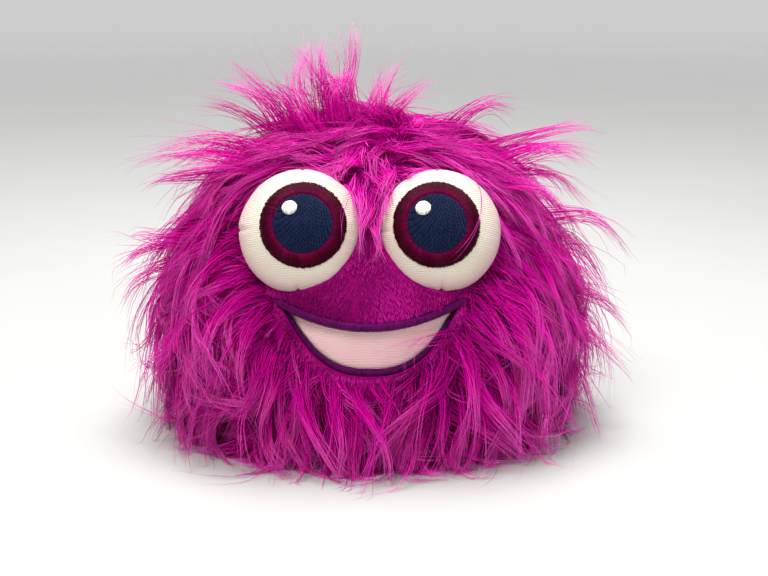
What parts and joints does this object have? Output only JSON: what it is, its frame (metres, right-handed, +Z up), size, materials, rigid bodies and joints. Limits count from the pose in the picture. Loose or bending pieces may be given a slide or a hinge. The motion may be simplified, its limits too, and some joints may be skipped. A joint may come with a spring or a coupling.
{
  "type": "moving mouth hand puppet",
  "caption": "Shaggy round hand puppet with two big padded eyes, a padded smile, and a glove inside whose thumb pocket opens the jaw.",
  "frame": {"origin": "on the table under the middle of the ball of pile, at the centre of the bounding box's underside", "axes": "+Z up, the face looks along -Y, the hand goes in along -Y through the back, +X is to the right of someone who looks at the face"},
  "size_m": [0.248, 0.248, 0.2056],
  "materials": {
    "fur": "matte",
    "face_cloth": "matte",
    "filling": "matte",
    "board": "matte",
    "mouth_lining": "matte",
    "glove_cloth": "matte",
    "hinge_tape": "satin",
    "lip_thread": "satin",
    "label": "satin",
    "eye_cloth": "matte",
    "eye_backing": "matte",
    "iris_thread": "satin",
    "pupil_thread": "satin",
    "catchlight_thread": "satin",
    "teeth_cloth": "matte"
  },
  "bodies": {
    "head": {"crown_filling": "filling", "left_cheek_filling": "filling", "right_cheek_filling": "filling", "rear_filling": "filling", "muzzle_filling": "filling", "upper_mouth_board": "board", "upper_mouth_lining": "mouth_lining", "left_cheek_lining": "mouth_lining", "right_cheek_lining": "mouth_lining", "finger_pocket": "glove_cloth", "upper_hinge_tape": "hinge_tape", "face_panel": "face_cloth", "upper_lip_cord": "lip_thread", "front_left_fur": "fur", "front_right_fur": "fur", "back_left_fur": "fur", "back_right_fur": "fur", "chin_fur": "fur", "crown_tuft": "fur", "base_panel": "face_cloth", "hand_sleeve": "glove_cloth", "sleeve_cuff": "glove_cloth", "care_label": "label", "left_eye_cover": "eye_cloth", "left_eye_filling": "filling", "left_eye_backing": "eye_backing", "left_iris": "iris_thread", "left_pupil": "pupil_thread", "left_catchlight": "catchlight_thread", "right_eye_cover": "eye_cloth", "right_eye_filling": "filling", "right_eye_backing": "eye_backing", "right_iris": "iris_thread", "right_pupil": "pupil_thread", "right_catchlight": "catchlight_thread"},
    "jaw": {"jaw_filling": "filling", "lower_mouth_board": "board", "lower_mouth_lining": "mouth_lining", "thumb_pocket": "glove_cloth", "lower_hinge_tape": "hinge_tape", "teeth_panel": "teeth_cloth", "lower_lip_cord": "lip_thread"}
  },
  "joints": [
    {"name": "jaw_open", "type": "hinge", "parent": "head", "child": "jaw", "pos_m": [0, 0, 0.062], "axis": [1, 0, 0], "range_deg": [0, 25], "stiffness_Nm_per_rad": 0.2, "springref_deg": -28.65}
  ]
}
